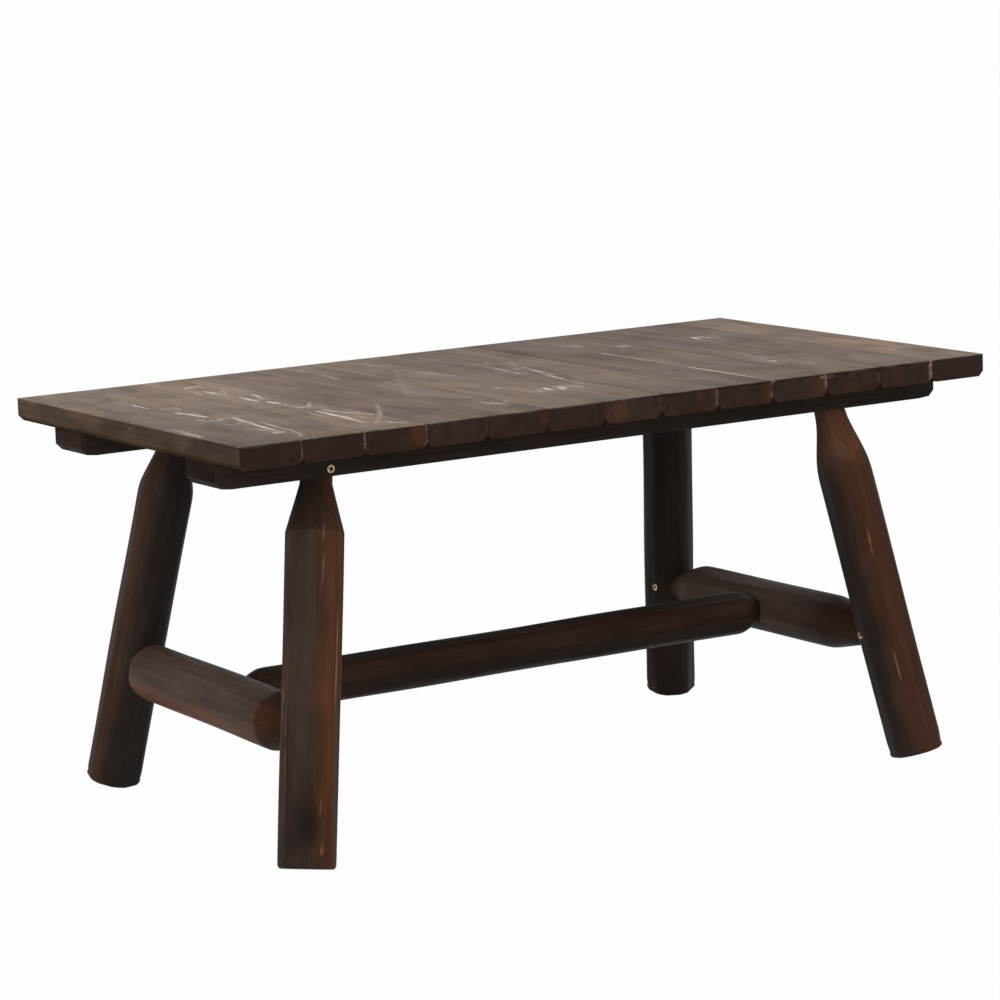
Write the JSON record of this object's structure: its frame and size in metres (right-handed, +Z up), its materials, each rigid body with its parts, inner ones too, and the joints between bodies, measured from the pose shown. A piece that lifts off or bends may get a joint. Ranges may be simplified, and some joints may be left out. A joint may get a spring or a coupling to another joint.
{
  "type": "wooden bench",
  "caption": "Low rustic bench with a dark stained cross-board top on rails, splayed coned log legs and an H of log stretchers joined by round tenons and screws.",
  "frame": {"origin": "on the floor, under the middle of the top", "axes": "+X along the length, -Y towards the front that the picture shows, +Z up"},
  "size_m": [0.95, 0.548, 0.45],
  "materials": {
    "top_boards": "dark brown stain, scorched softwood, worn grain, satin",
    "rails": "near-black brown stain, scorched softwood, matt",
    "logs": "dark reddish brown stain on peeled logs, satin",
    "screws": "yellow passivated cross-head wood screws"
  },
  "bodies": {
    "root": {"top_board_01": "top_boards", "top_board_02": "top_boards", "top_board_03": "top_boards", "top_board_04": "top_boards", "top_board_05": "top_boards", "top_board_06": "top_boards", "top_board_07": "top_boards", "top_board_08": "top_boards", "top_board_09": "top_boards", "top_board_10": "top_boards", "top_board_11": "top_boards", "top_board_12": "top_boards", "top_board_13": "top_boards", "front_rail": "rails", "back_rail": "rails", "front_left_leg": "logs", "front_right_leg": "logs", "back_left_leg": "logs", "back_right_leg": "logs", "left_cross_stretcher": "logs", "right_cross_stretcher": "logs", "long_stretcher": "logs", "front_rail_board_screws": "screws", "back_rail_board_screws": "screws", "rail_lock_screws": "screws", "leg_lock_screws": "screws", "long_stretcher_lock_screws": "screws"}
  },
  "joints": []
}
